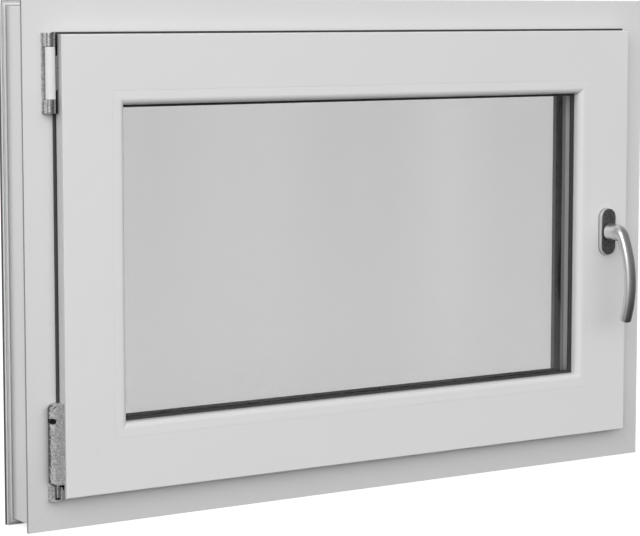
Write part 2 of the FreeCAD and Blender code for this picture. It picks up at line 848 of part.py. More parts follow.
DRAFT = size("rosette_draft") * 2
rosette = new_body("handle_rosette")
foot_oval = new_sketch(rosette, "XZ_Plane", "rosette_foot")
draw_oval(foot_oval, size("rosette_width"), size("rosette_height"))
face_oval = new_sketch(rosette, "XZ_Plane", "rosette_face", size("rosette_depth"))
draw_oval(face_oval, size("rosette_width") - DRAFT, size("rosette_height") - DRAFT)
shell = loft(rosette, foot_oval, face_oval)
doc.recompute()
rim = [
    "Edge%d" % index
    for index, edge in enumerate(shell.Shape.Edges, start=1)
    if max(abs(vertex.Y + size("rosette_depth").value) for vertex in edge.Vertexes) < NEARLY
]
soften(rosette, shell, "Fillet", rim, size("rosette_round"))
well = new_sketch(rosette, "XZ_Plane", "rosette_well", size("rosette_depth"))
draw_circle(well, ZERO, ZERO, size("bearing_ring_diameter") / 2 + size("pin_clearance"))
pocket(rosette, well, size("bearing_ring_seat"))
place(rosette, HANDLE_X, SASH_FRONT_Y, HANDLE_Z)

bearing_ring = new_body("handle_bearing_ring")
RING_BACK = size("rosette_depth") - size("bearing_ring_seat")
ring_outline = new_sketch(bearing_ring, "XZ_Plane", "bearing_ring_outline", RING_BACK)
draw_circle(ring_outline, ZERO, ZERO, size("bearing_ring_diameter") / 2)
draw_circle(ring_outline, ZERO, ZERO, size("spindle_hole") / 2)
pad(bearing_ring, ring_outline, size("bearing_ring_seat") + size("bearing_ring_proud"))
place(bearing_ring, HANDLE_X, SASH_FRONT_Y, HANDLE_Z)

lever = new_body("handle_lever")
NECK_START = size("rosette_depth") + size("bearing_ring_proud") + size("neck_clearance")
ELBOW_REACH = size("neck_reach") + size("elbow_radius") * sine(size("elbow_turn"))
ELBOW_DROP = size("elbow_radius") * (1 - cosine(size("elbow_turn")))
neck = new_sketch(lever, "YZ_Plane", "neck_half_section")
draw_outline(
    neck,
    [
        (-NECK_START, ZERO),
        (-NECK_START, size("neck_diameter") / 2 - size("neck_bevel")),
        (-NECK_START - size("neck_bevel"), size("neck_diameter") / 2),
        (-size("neck_reach"), size("neck_end_diameter") / 2),
        (-size("neck_reach"), ZERO),
    ],
)
turned_neck = lever.newObject("PartDesign::Revolution", "neck")
turned_neck.Profile = neck
turned_neck.ReferenceAxis = (neck, ["H_Axis"])
turned_neck.Angle = 360.0


def draw_bend(sketch, centre_y, centre_z, radius, start, turn):
    """One arc of the lever's middle line, from one angle on through a turn."""
    centre = FreeCAD.Vector(centre_y.value, centre_z.value, 0)
    circle = Part.Circle(centre, FreeCAD.Vector(0, 0, 1), radius.value)
    first = math.radians(start.value)
    arc = Part.ArcOfCircle(circle, first, first + math.radians(turn.value))
    sketch.addGeometry(arc, False)
    pin_point(sketch, 0, 3, centre_y, centre_z)
    pin_point(sketch, 0, 1, centre_y + radius * cosine(start), centre_z + radius * sine(start))
    rule = sketch.addConstraint(Sketcher.Constraint("Angle", 0, math.radians(turn.value)))
    sketch.setExpression("Constraints[%d]" % rule, turn.formula)


elbow_line = new_sketch(lever, "YZ_Plane", "elbow_line")
UPRIGHT = Length(90.0, "90.0")
draw_bend(
    elbow_line,
    -size("neck_reach"),
    -size("elbow_radius"),
    size("elbow_radius"),
    UPRIGHT,
    size("elbow_turn"),
)
neck_end = new_sketch(lever, "XZ_Plane", "neck_end", lift=size("neck_reach"))
draw_circle(neck_end, ZERO, ZERO, size("neck_end_diameter") / 2)


def grip_section(name):
    """The flat oval of the grip, square to the middle line where the elbow ends."""
    turn = size("elbow_turn")
    section = new_sketch(lever, "XZ_Plane", name, ELBOW_REACH, -ELBOW_DROP, turn)
    draw_ellipse(section, size("grip_width"), size("grip_thickness"))
    return section


elbow = lever.newObject("PartDesign::AdditivePipe", "elbow")
elbow.Profile = neck_end
elbow.Spine = elbow_line
elbow.Transformation = "Multisection"
elbow.Sections = [grip_section("elbow_end")]

bow_line = new_sketch(lever, "YZ_Plane", "bow_line")
BEYOND_ELBOW = size("bow_radius") - size("elbow_radius")
draw_bend(
    bow_line,
    BEYOND_ELBOW * sine(size("elbow_turn")) - size("neck_reach"),
    BEYOND_ELBOW * cosine(size("elbow_turn")) * -1 - size("elbow_radius"),
    size("bow_radius"),
    UPRIGHT + size("elbow_turn"),
    size("bow_turn"),
)
bow = lever.newObject("PartDesign::AdditivePipe", "bow")
bow.Profile = grip_section("bow_start")
bow.Spine = bow_line
doc.recompute()
tops = [edge.BoundBox.ZMax for edge in bow.Shape.Edges]
end_edge = "Edge%d" % (tops.index(min(tops)) + 1)
soften(lever, bow, "Fillet", [end_edge], size("grip_end_round"))
place(lever, HANDLE_X, SASH_FRONT_Y, HANDLE_Z)

# Drain caps on the outdoor face of the sill: a plate with a hood that is open below.

HOOD_TOP = size("drain_cap_height") - size("drain_cap_border")
for label, side in (("left_drain_cap", -1), ("right_drain_cap", 1)):
    cap = new_body(label)
    cap_plate = new_sketch(cap, "YZ_Plane", label + "_plate")
    draw_outline(
        cap_plate,
        [
            (ZERO, ZERO),
            (size("drain_cap_plate"), ZERO),
            (size("drain_cap_plate"), size("drain_cap_height")),
            (ZERO, size("drain_cap_height")),
        ],
    )
    pad(cap, cap_plate, size("drain_cap_width"), both_ways=True)
    hood = new_sketch(cap, "YZ_Plane", label + "_hood")
    draw_outline(
        hood,
        [
            (size("drain_cap_plate"), size("drain_cap_border")),
            (size("drain_hood_depth"), size("drain_cap_border")),
            (size("drain_hood_depth"), HOOD_TOP - size("drain_hood_slope")),
            (size("drain_cap_plate"), HOOD_TOP),
        ],
    )
    HOOD_WIDTH = size("drain_cap_width") - size("drain_cap_border") * 2
    pad(cap, hood, HOOD_WIDTH, both_ways=True)
    mouth = new_sketch(cap, "XY_Plane", label + "_mouth", lift=size("drain_cap_border"))
    MOUTH_SIDE = HOOD_WIDTH / 2 - size("drain_mouth_wall")
    MOUTH_OUT = size("drain_hood_depth") - size("drain_mouth_wall")
    draw_outline(
        mouth,
        [
            (-MOUTH_SIDE, size("drain_cap_plate")),
            (MOUTH_SIDE, size("drain_cap_plate")),
            (MOUTH_SIDE, MOUTH_OUT),
            (-MOUTH_SIDE, MOUTH_OUT),
        ],
    )
    pocket(cap, mouth, size("drain_mouth_height"), backwards=True)
    middle = side * (WIDTH / 2 - size("drain_cap_inset"))
    place(cap, middle, ROOM_SIDE + DEPTH, size("drain_cap_rise"))

doc.recompute()

problems = []
for item in doc.Objects:
    if "Invalid" in item.State or "Error" in item.State:
        problems.append("%s %s" % (item.Name, item.State))
for piece in pieces:
    if piece.Shape.isNull() or not piece.Shape.isValid():
        problems.append("%s has no valid shape" % piece.Label)
if problems:
    raise RuntimeError("; ".join(problems))

os.makedirs("parts", exist_ok=True)
for piece in pieces:
    piece.Shape.exportStep("parts/%s.step" % piece.Label)
    solids = len(piece.Shape.Solids)
    print("%-24s %d solid, %.1f cm3" % (piece.Label, solids, piece.Shape.Volume / 1000))
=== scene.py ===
import json
import math

import bpy
from mathutils import Euler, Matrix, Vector


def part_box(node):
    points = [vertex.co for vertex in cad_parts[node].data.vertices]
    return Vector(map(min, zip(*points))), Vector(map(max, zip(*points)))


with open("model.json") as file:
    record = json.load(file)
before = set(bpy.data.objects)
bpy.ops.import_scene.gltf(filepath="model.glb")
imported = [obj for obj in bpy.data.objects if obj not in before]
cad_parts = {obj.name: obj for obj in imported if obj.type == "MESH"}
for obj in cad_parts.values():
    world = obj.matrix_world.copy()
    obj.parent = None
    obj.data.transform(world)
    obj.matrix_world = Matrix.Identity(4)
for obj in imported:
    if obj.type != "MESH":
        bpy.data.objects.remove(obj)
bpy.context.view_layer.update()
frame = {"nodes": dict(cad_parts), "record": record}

MM = 0.001


# Places on the window, read from the frame

def low_corner(piece):
    return Vector(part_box(piece)[0])


def high_corner(piece):
    return Vector(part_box(piece)[1])


HALF_WIDTH = (high_corner("frame_sill").x - low_corner("frame_sill").x) / 2
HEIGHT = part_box("frame_head")[1][2]
ROOM_Y = low_corner("frame_sill").y
SASH_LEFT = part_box("sash_hinge_stile")[0][0]
SIGHT_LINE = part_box("left_glazing_bead")[1][0] + HALF_WIDTH
BEAD_BACK_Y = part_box("left_glazing_bead")[1][1]
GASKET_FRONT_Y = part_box("outer_glazing_gasket")[0][1]
SPACER_FRONT_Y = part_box("glass_spacer")[0][1]
TOP_HINGE_LOW_Z = low_corner("top_hinge_bracket").z
TOP_HINGE_HIGH_Z = high_corner("top_hinge_bracket").z
CASTING_LOW = low_corner("corner_hinge_body")
BEARING_LOW = low_corner("corner_bearing_bracket")
ROSETTE_FACE_Y = low_corner("handle_rosette").y


# Shader maths

class Wire:
    """One socket of a finish. Arithmetic on it adds the nodes that do the sum."""

    def __init__(self, graph, socket):
        self.graph = graph
        self.socket = socket

    def sum_node(self, operation, *values):
        return self.graph.node("ShaderNodeMath", {"operation": operation}, *values)

    def __add__(self, other):
        return self.sum_node("ADD", self, other)

    def __radd__(self, other):
        return self.sum_node("ADD", other, self)

    def __sub__(self, other):
        return self.sum_node("SUBTRACT", self, other)

    def __rsub__(self, other):
        return self.sum_node("SUBTRACT", other, self)

    def __mul__(self, other):
        return self.sum_node("MULTIPLY", self, other)

    def __rmul__(self, other):
        return self.sum_node("MULTIPLY", other, self)

    def __abs__(self):
        return self.sum_node("ABSOLUTE", self)

    def rises(self, low, high):
        """Nought below low, one above high, and smooth between them."""
        settings = {"interpolation_type": "SMOOTHSTEP", "clamp": True}
        return self.graph.node(
            "ShaderNodeMapRange", settings, Value=self, From_Min=low, From_Max=high
        )

    def falls(self, low, high):
        """One below low, nought above high, and smooth between them."""
        return 1 - self.rises(low, high)

    def between(self, low, high, soft):
        """One from low to high and nought outside, over a soft edge inside them."""
        return self.rises(low, low + soft) * self.falls(high - soft, high)


class Graph:
    """The nodes of one material or of the world, added one call at a time."""

    def __init__(self, tree):
        self.tree = tree

    def node(self, kind, settings, *values, output=0, **named):
        """Add a node: its settings first, then its sockets by order or by name."""
        made = self.tree.nodes.new(kind)
        for key, value in settings.items():
            if key == "stops":
                self.set_stops(made.color_ramp, value)
            else:
                setattr(made, key, value)
        sockets = list(zip(made.inputs, values))
        sockets += [(self.find(made, key), value) for key, value in named.items()]
        for socket, value in sockets:
            self.feed(socket, value)
        return Wire(self, made.outputs[output]) if made.outputs else None

    @staticmethod
    def find(made, key):
        wanted = key.replace("_", " ")
        return next(s for s in made.inputs if s.name == wanted and s.enabled)

    @staticmethod
    def set_stops(ramp, stops):
        while len(ramp.elements) < len(stops):
            ramp.elements.new(1.0)
        for element, (place, level) in zip(ramp.elements, stops):
            element.position = place
            element.color = grey(level)

    def feed(self, socket, value):
        if isinstance(value, Wire):
            self.tree.links.new(value.socket, socket)
        else:
            socket.default_value = value

    def smaller(self, one, other):
        return self.node("ShaderNodeMath", {"operation": "MINIMUM"}, one, other)

    def larger(self, one, other):
        return self.node("ShaderNodeMath", {"operation": "MAXIMUM"}, one, other)

    def ramp(self, value, stops):
        return self.node("ShaderNodeValToRGB", {"stops": stops}, value)


class Finish(Graph):
    """A procedural finish for one slot of the window."""

    def __init__(self, name, **constants):
        self.material = bpy.data.materials.new(name)
        self.material.use_nodes = True
        super().__init__(self.material.node_tree)
        self.shader = self.tree.nodes["Principled BSDF"]
        self.shade(**constants)

    def place(self):
        """Position on the window in metres, the same on every piece."""
        return self.node("ShaderNodeTexCoord", {}, output="Object")

    def along(self, axis):
        return self.node("ShaderNodeSeparateXYZ", {}, self.place(), output=axis)

    def grain(self, size, detail, stretch=(1.0, 1.0, 1.0)):
        """Noise between 0 and 1 with spots of a given size in millimetres."""
        spot = self.node("ShaderNodeMapping", {}, Vector=self.place(), Scale=stretch)
        scale = 1.0 / (size * MM)
        return self.node("ShaderNodeTexNoise", {}, Vector=spot, Scale=scale, Detail=detail)

    def relief(self, height, strength, depth):
        """Bump from a height between 0 and 1, with its depth in millimetres."""
        bump = self.node(
            "ShaderNodeBump", {}, Strength=strength, Distance=depth * MM, Height=height
        )
        self.shade(Normal=bump)

    def blend(self, mask, one, other):
        settings = {"data_type": "RGBA"}
        return self.node("ShaderNodeMix", settings, Factor=mask, A=one, B=other, output=2)

    def tone(self, mask, dark, light):
        """A grey that goes from dark to light as the mask goes from 0 to 1."""
        return self.blend(mask, grey(dark), grey(light))

    def stain(self, colour, mask, level):
        """The colour with a grey of one level laid over it where the mask says."""
        return self.blend(mask, colour, grey(level))

    def shade(self, **sockets):
        for key, value in sockets.items():
            self.feed(self.shader.inputs[key.replace("_", " ")], value)
        return self.material


def grey(level):
    return (level, level, level, 1.0)


# Finishes of the plastic profiles. Die lines run along the bar, so their noise is stretched.

LEVEL = (0.03, 1.0, 1.0)
UPRIGHT = (1.0, 1.0, 0.03)
PLASTIC_IOR = 1.5
UPVC_TONE = 0.80
CLOUDING = 0.012
RUB_DARKER = 0.05
SHADOW_BLACK = 0.01


def white_upvc(name, stretch, base=UPVC_TONE):
    """Extruded white plastic: satin skin, faint die lines along the bar, a few rubs."""
    finish = Finish(name, IOR=PLASTIC_IOR)
    cloud = finish.grain(size=90, detail=2)
    peel = finish.grain(size=1.6, detail=1)
    die_lines = finish.grain(size=1.2, detail=2, stretch=stretch)
    rubs = finish.grain(size=14, detail=5, stretch=stretch).rises(0.60, 0.78)
    light = finish.tone(cloud, base - CLOUDING, base + CLOUDING)
    colour = finish.stain(light, rubs * 0.3, base - RUB_DARKER)
    finish.relief(die_lines * 0.6 + peel * 0.4, strength=0.25, depth=0.03)
    gloss = 0.30 + die_lines * 0.06 + rubs * 0.10
    return finish, colour, gloss


def distance_inward(finish):
    """How far a point lies in from the nearest outer edge of the frame."""
    across = HALF_WIDTH - abs(finish.along("X"))
    height = finish.along("Z")
    return finish.smaller(across, finish.smaller(height, HEIGHT - height))


# Sash: its outdoor glazing edge painted near-black as shade, and painted shade on the step behind
# it

EDGE_SHADE_DEPTH = 9.5 * MM
EDGE_SHADE_WRAP = 0.6 * MM
EDGE_SHADE_SOFT = 0.4 * MM
EDGE_SHADE_TONE = 0.006
HINGE_SIDE_EDGE_SHADE_TONE = 0.02
STEP_START = 3.0 * MM
STEP_END = 1.0 * MM
STEP_TONE = 0.12


def painted_edge_shade(finish):
    """One on the outdoor glazing edge of the sash, painted near-black with weaker gloss as the
    shade beside the outer pane.
    """
    deep = finish.along("Y") - GASKET_FRONT_Y
    edge = SIGHT_LINE - EDGE_SHADE_WRAP
    wrapped = distance_inward(finish).rises(edge, edge + EDGE_SHADE_SOFT)
    start = deep.rises(-0.5 * EDGE_SHADE_SOFT, 0)
    return wrapped * start * deep.falls(EDGE_SHADE_DEPTH, EDGE_SHADE_DEPTH + EDGE_SHADE_SOFT)


def shaded_step(finish):
    """The step of the sash behind its outdoor glazing edge, painted darker as shade beside the
    outer pane.
    """
    deep = finish.along("Y") - GASKET_FRONT_Y
    edge = distance_inward(finish).rises(SIGHT_LINE - STEP_START, SIGHT_LINE - STEP_END)
    return edge * deep.rises(EDGE_SHADE_DEPTH - MM, EDGE_SHADE_DEPTH)


def sash_upvc(name, stretch):
    finish, colour, gloss = white_upvc(name, stretch)
    edge_shade = painted_edge_shade(finish)
    # Painted shade on the step, then painted near-black shade on the outdoor glazing edge, whose
    # gloss is also weakened.
    colour = finish.stain(colour, shaded_step(finish) * 0.8, STEP_TONE)
    colour = finish.stain(colour, edge_shade, EDGE_SHADE_TONE)
    return finish.shade(Base_Color=colour, Roughness=gloss + edge_shade * 0.3, Metallic=edge_shade)


# Hinge stile: its left side, turned from the light, painted darker as shade, with painted black
# shadow for gaps beside the hinges

SIDE_EDGE = (SASH_LEFT + 0.4 * MM, SASH_LEFT + 0.9 * MM)
SIDE_START = 4.0 * MM
SIDE_SHADE_TONE = 0.42
NOTCH_SHADOW_DEPTH = 4.6 * MM
NOTCH_SHADOW_SOFT = 0.6 * MM
NOTCH_SHADE = 11.0 * MM
NOTCH_SHADE_TONE = 0.18
POCKET_SHADOW_HEIGHTS = (48.2 * MM, 54.6 * MM)
POCKET_SHADOW_REACH = (-1.0 * MM, 14.8 * MM)
SLIT_SHADOW_HEIGHTS = (36.0 * MM, 50.0 * MM)
SLIT_SHADOW_REACH = (12.6 * MM, 14.8 * MM)
GAP_SOFT = 0.5 * MM


def hinge_stile_upvc():
    """The hinge stile: painted shade on its left side, and painted black shadow for a notch
    beside the top hinge and for a pocket and a slit at the bearing.
    """
    finish, colour, gloss = white_upvc("white_upvc_hinge_stile", UPRIGHT)
    height = finish.along("Z")
    side = finish.along("X").falls(*SIDE_EDGE)
    above_foot = height.rises(TOP_HINGE_LOW_Z - MM, TOP_HINGE_LOW_Z)
    beside_hinge = side * above_foot * height.falls(TOP_HINGE_HIGH_Z, TOP_HINGE_HIGH_Z + MM)
    proud = ROOM_Y - SIDE_START - finish.along("Y")
    notch_shadow = beside_hinge * proud.falls(NOTCH_SHADOW_DEPTH, NOTCH_SHADOW_DEPTH + NOTCH_SHADOW_SOFT)
    notch_shade = beside_hinge * proud.falls(NOTCH_SHADOW_DEPTH, NOTCH_SHADE)
    reach = ROOM_Y - finish.along("Y")
    pocket_shadow = height.between(*POCKET_SHADOW_HEIGHTS, GAP_SOFT) * reach.between(*POCKET_SHADOW_REACH, GAP_SOFT)
    slit_shadow = height.between(*SLIT_SHADOW_HEIGHTS, GAP_SOFT) * reach.between(*SLIT_SHADOW_REACH, GAP_SOFT)
    # Painted shade on the left side, painted shade fading out beside the top hinge, and painted
    # black shadow for the notch, pocket and slit.
    colour = finish.stain(colour, side * 0.55, SIDE_SHADE_TONE)
    colour = finish.stain(colour, notch_shade * 0.8, NOTCH_SHADE_TONE)
    colour = finish.stain(colour, notch_shadow, SHADOW_BLACK)
    colour = finish.stain(colour, side * finish.larger(pocket_shadow, slit_shadow), SHADOW_BLACK)
    # Painted near-black shade on the outdoor glazing edge.
    colour = finish.stain(colour, painted_edge_shade(finish), HINGE_SIDE_EDGE_SHADE_TONE)
    return finish.shade(Base_Color=colour, Roughness=gloss)


# Glazing beads: the level ones have painted light on the top bead's nose and painted shade on the
# bottom bead's nose, the upright ones a shaded back

BEAD_TONE = 0.815
BOTTOM_NOSE_SHADE = 0.755
TOP_NOSE_LIGHT = 0.825
NOSE_START = SIGHT_LINE - 9.0 * MM
NOSE_SOFT = 3.0 * MM
TOUCH_TONE = 0.08


def level_bead_upvc(name, nose_painted_light):
    """A level glazing bead, its rounded nose painted in a tone of its own, as light on the top
    bead and as shade on the bottom bead.
    """
    finish, colour, gloss = white_upvc(name, LEVEL, BEAD_TONE)
    nose = distance_inward(finish).rises(NOSE_START, NOSE_START + NOSE_SOFT)
    return finish.shade(Base_Color=finish.stain(colour, nose, nose_painted_light), Roughness=gloss)


def upright_bead_upvc():
    """The upright glazing beads, shaded where they touch the rubber at the glass."""
    finish, colour, gloss = white_upvc("white_upvc_bead_upright", UPRIGHT)
    touch = finish.along("Y").rises(BEAD_BACK_Y - 2.2 * MM, BEAD_BACK_Y - 1.0 * MM)
    colour = finish.stain(colour, touch * 0.85, TOUCH_TONE)
    return finish.shade(Base_Color=colour, Roughness=gloss)


# Frame: lines along the edges of its flange and foot strip, mitres, and painted shade low down,
# in a groove and in its outer channel

FRAME_TONE = 0.77
LOW_SHADE_DARKER = 0.16
LOW_SHADE_HEIGHTS = (-0.05, 0.50)
FOOT_SHADE_HEIGHTS = (0.02, 0.12)
FLANGE_DEEP = 4.0 * MM
FOOT_EDGE = 54.8 * MM
EDGE_DEPTH = 0.4 * MM
FLANGE_EDGE_TONE = 0.22
FOOT_EDGE_TONE = 0.03
GROOVE_ACROSS = (2.4 * MM, 4.2 * MM)
GROOVE_DEEP = (50.0 * MM, 57.5 * MM)
GROOVE_TONE = 0.22
CHANNEL = 7.5 * MM
CHANNEL_START = (20.0 * MM, 22.0 * MM)
LIP_FACE = 53.0 * MM
CORNER_SHADE = 12.0 * MM
CORNER_SHADE_TONE = 0.28
MITRE_LINE = 0.16 * MM
MITRE_TONE = 0.30


def channel_corner_shade(inward, deep):
    """Painted shade: one in the inner corner of the outer channel, where its floor meets the rear
    lip, fading out towards the front.
    """
    floor_line = inward.rises(CHANNEL - 0.3 * MM, CHANNEL) * inward.falls(CHANNEL, CHANNEL + MM)
    return floor_line * deep.rises(LIP_FACE - CORNER_SHADE, LIP_FACE) * deep.rises(*CHANNEL_START)


def frame_upvc(name, stretch):
    """The frame's bars, painted darker towards the bottom as shade, with a grey line along the
    edge of the front flange and a near-black one along the foot strip.
    """
    finish, colour, gloss = white_upvc(name, stretch, FRAME_TONE)
    across = HALF_WIDTH - abs(finish.along("X"))
    height = finish.along("Z")
    deep = finish.along("Y") - ROOM_Y
    inward = distance_inward(finish)
    # Painted shade: darker towards the bottom of the frame, and more so at its foot.
    dust_and_shade = height.falls(*LOW_SHADE_HEIGHTS) * 0.30 + height.falls(*FOOT_SHADE_HEIGHTS) * 0.25
    colour = finish.stain(colour, dust_and_shade, FRAME_TONE - LOW_SHADE_DARKER)
    # Painted shade in the groove near the back of the frame's outer sides.
    groove = inward.between(*GROOVE_ACROSS, 0.5 * MM) * deep.between(*GROOVE_DEEP, MM)
    colour = finish.stain(colour, groove * 0.5, GROOVE_TONE)
    # Painted shade in the inner corner of the outer channel.
    colour = finish.stain(colour, channel_corner_shade(inward, deep) * 0.45, CORNER_SHADE_TONE)
    mitre = abs(across - height).falls(0.4 * MITRE_LINE, 2 * MITRE_LINE)
    colour = finish.stain(colour, mitre * deep.falls(0, EDGE_DEPTH) * 0.35, MITRE_TONE)
    rim = inward.falls(0.5 * EDGE_DEPTH, EDGE_DEPTH)
    front = deep.falls(FLANGE_DEEP - EDGE_DEPTH, FLANGE_DEEP + EDGE_DEPTH)
    front = front * deep.rises(0.4 * EDGE_DEPTH, 1.2 * EDGE_DEPTH)
    back = deep.rises(FOOT_EDGE - EDGE_DEPTH, FOOT_EDGE)
    colour = finish.stain(colour, rim * front, FLANGE_EDGE_TONE)
    colour = finish.stain(colour, rim * back, FOOT_EDGE_TONE)
    return finish.shade(Base_Color=colour, Roughness=gloss)


def white_cap():
    """Injection moulded covers, smoother than the profiles."""
    finish = Finish("white_cap", IOR=PLASTIC_IOR)
    peel = finish.grain(size=0.8, detail=1)
    cloud = finish.grain(size=12, detail=2)
    finish.relief(peel, strength=0.15, depth=0.02)
    colour = finish.tone(cloud, dark=0.765, light=0.80)
    return finish.shade(Base_Color=colour, Roughness=0.24 + peel * 0.08)


# Finishes of rubber, black plastic and glass

RUBBER_IOR = 1.45
DULL_RUBBER_IOR = 1.2


def rubber(name, dark, light, ior=RUBBER_IOR):
    """Extruded rubber with a soft bloom and fine pores."""
    finish = Finish(name, IOR=ior)
    bloom = finish.grain(size=5, detail=4)
    pores = finish.grain(size=0.5, detail=2)
    finish.relief(pores, strength=0.4, depth=0.05)
    return finish.shade(Base_Color=finish.tone(bloom, dark, light), Roughness=0.5 + bloom * 0.2)


def black_bearing():
    finish = Finish("black_bearing")
    pores = finish.grain(size=0.4, detail=2)
    finish.relief(pores, strength=0.3, depth=0.03)
    colour = finish.tone(pores, dark=0.008, light=0.016)
    return finish.shade(Base_Color=colour, Roughness=0.45 + pores * 0.1)


GLASS_IOR = 1.36
GLASS_TINT = 0.670


def clear_glass():
    """Coated float glass with the slight waviness that softens what it mirrors."""
    finish = Finish(
        "clear_glass", Transmission_Weight=1.0, IOR=GLASS_IOR, Base_Color=grey(GLASS_TINT)
    )
    wave = finish.grain(size=260, detail=1)
    dust_and_shade = finish.grain(size=3, detail=5).rises(0.62, 0.85)
    finish.relief(wave, strength=0.05, depth=1.0)
    return finish.shade(Roughness=dust_and_shade * 0.05)


SHADED_TOP = (0.44, 0.53)
SPACER_BRIGHT = 0.92
SPACER_TOP_SHADE = 0.30
FAR_HALF = (8.6 * MM, 9.4 * MM)
FAR_HALF_TONE = 0.24
SPACER_GROOVE = 11.5 * MM
SPACER_GROOVE_TONE = 0.26


def spacer_aluminium():
    """The spacer bar between the panes, with painted shade near the top, and darker on its
    outdoor half.
    """
    finish = Finish("spacer_aluminium", Metallic=0.3)
    brush = finish.grain(size=0.6, detail=2)
    deep = finish.along("Y") - SPACER_FRONT_Y
    groove = abs(deep - SPACER_GROOVE).falls(0.6 * MM, 1.6 * MM)
    finish.relief(brush, strength=0.3, depth=0.03)
    # Painted shade near the top of the spacer, under the top bead.
    colour = finish.tone(finish.along("Z").rises(*SHADED_TOP), SPACER_BRIGHT, SPACER_TOP_SHADE)
    colour = finish.stain(colour, deep.rises(*FAR_HALF) * 0.55, FAR_HALF_TONE)
    colour = finish.stain(colour, groove * 0.4, SPACER_GROOVE_TONE)
    return finish.shade(Base_Color=colour, Roughness=0.42 + brush * 0.12)


# Finishes of the hinges

PIN_FOOT_SHADE_TOP = 39.5 * MM
PIN_FOOT_SHADE_SOFT = 0.5 * MM
PIN_FOOT_SHADE_TONE = 0.02


def brushed_steel():
    """Drawn steel of the hinge, with fine upright lines, dark specks and painted near-black
    shadow at the foot of the pivot pin.
    """
    finish = Finish("brushed_steel", Metallic=1.0)
    brush = finish.grain(size=0.35, detail=3, stretch=(1.0, 1.0, 0.04))
    mottle = finish.grain(size=3.0, detail=4)
    specks = finish.grain(size=1.1, detail=3).rises(0.58, 0.72)
    pin_foot_shade = finish.along("Z").falls(PIN_FOOT_SHADE_TOP - PIN_FOOT_SHADE_SOFT, PIN_FOOT_SHADE_TOP + PIN_FOOT_SHADE_SOFT)
    finish.relief(brush * 0.7 + mottle * 0.3, strength=0.18, depth=0.03)
    colour = finish.tone(mottle.rises(0.35, 0.65), dark=0.60, light=0.88)
    colour = finish.stain(colour, specks * 0.45, 0.20)
    # Painted shadow at the foot of the pivot pin.
    colour = finish.stain(colour, pin_foot_shade * 0.95, PIN_FOOT_SHADE_TONE)
    return finish.shade(Base_Color=colour, Roughness=0.20 + brush * 0.12 + specks * 0.1)


def casting(name):
    """Mottled die cast zinc with pits, for the colour and the relief of a casting."""
    finish = Finish(name, Metallic=0.45)
    mottle = finish.grain(size=2.6, detail=6)
    fine = finish.grain(size=0.8, detail=4)
    pits = finish.grain(size=1.3, detail=4).rises(0.58, 0.72)
    colour = finish.tone((mottle * 0.65 + fine * 0.35).rises(0.30, 0.66), dark=0.30, light=0.72)
    colour = finish.stain(colour, pits * 0.5, 0.16)
    finish.relief(fine * 0.45 + mottle * 0.55, strength=0.9, depth=0.35)
    return finish, colour, 0.40 + mottle * 0.22


ADJUSTER_X = CASTING_LOW.x + 2.7 * MM
ADJUSTER_Z = 128 * MM
ADJUSTER_RADIUS = 3.0 * MM
HOLE_EDGE = ((1.10 * ADJUSTER_RADIUS) ** 2, (1.18 * ADJUSTER_RADIUS) ** 2)
SCREW_EDGE = ((0.25 * ADJUSTER_RADIUS) ** 2, (0.45 * ADJUSTER_RADIUS) ** 2)
SCREW_RISE = 0.6 * MM
BARREL_SIDE = (CASTING_LOW.x + 4.0 * MM, CASTING_LOW.x + 6.0 * MM)
BACK_SHADE_DEPTH = 5.2 * MM
BACK_SHADE_SOFT = 0.3 * MM
BACK_SHADE_RAGGED = 12.0 * MM
CAST_SHADE_TONE = 0.02


def cast_zinc():
    """The corner hinge, with ragged painted shade at the back of its barrel, and painted shade in
    its screw hole round a lighter screw head.
    """
    finish, colour, gloss = casting("cast_zinc")
    ragged = (finish.grain(size=4.0, detail=6) - 0.5) * BACK_SHADE_RAGGED
    deep = finish.along("Y") - CASTING_LOW.y + ragged
    barrel_back_shade = finish.along("X").falls(*BARREL_SIDE)
    barrel_back_shade = barrel_back_shade * deep.rises(BACK_SHADE_DEPTH - BACK_SHADE_SOFT, BACK_SHADE_DEPTH + BACK_SHADE_SOFT)
    across = finish.along("X") - ADJUSTER_X
    up = finish.along("Z") - ADJUSTER_Z
    up_screw = up - SCREW_RISE
    hole_shade = (across * across + up * up).falls(*HOLE_EDGE)
    screw = (across * across + up_screw * up_screw).falls(*SCREW_EDGE)
    # Painted shade, ragged, at the back of the barrel, and in the screw hole round a lighter
    # screw head.
    dark = finish.larger(barrel_back_shade * 0.85, hole_shade * (1 - screw * 0.7) * 0.98)
    return finish.shade(Base_Color=finish.stain(colour, dark, CAST_SHADE_TONE), Roughness=gloss)


def bearing_zinc():
    """The corner bearing, with painted black shadow down in the gap round its pin."""
    finish, colour, gloss = casting("bearing_zinc")
    inside = finish.along("X").rises(BEARING_LOW.x + 5.0 * MM, BEARING_LOW.x + 6.5 * MM)
    deep = (finish.along("Y") - BEARING_LOW.y).rises(2.5 * MM, 4.5 * MM)
    colour = finish.stain(colour, inside * deep * 0.95, SHADOW_BLACK)
    return finish.shade(Base_Color=colour, Roughness=gloss)


def hinge_arm():
    """The stay arm beside the top hinge, duller than the hinge itself."""
    finish, colour, gloss = casting("hinge_arm")
    return finish.shade(Base_Color=finish.stain(colour, 0.65, 0.16), Roughness=gloss)


# Finishes of the handle

def satin_grain(finish, dark, light, grain_size):
    """Colour and roughness of anodised aluminium with a fine blasted grain."""
    blast = finish.grain(grain_size, detail=2)
    speckle = finish.grain(size=0.9, detail=4).rises(0.30, 0.70)
    rubs = finish.grain(size=7, detail=5).rises(0.6, 0.8)
    finish.relief(blast, strength=0.35, depth=0.03)
    return finish.tone(speckle, dark, light), 0.26 + blast * 0.10 + rubs * 0.05


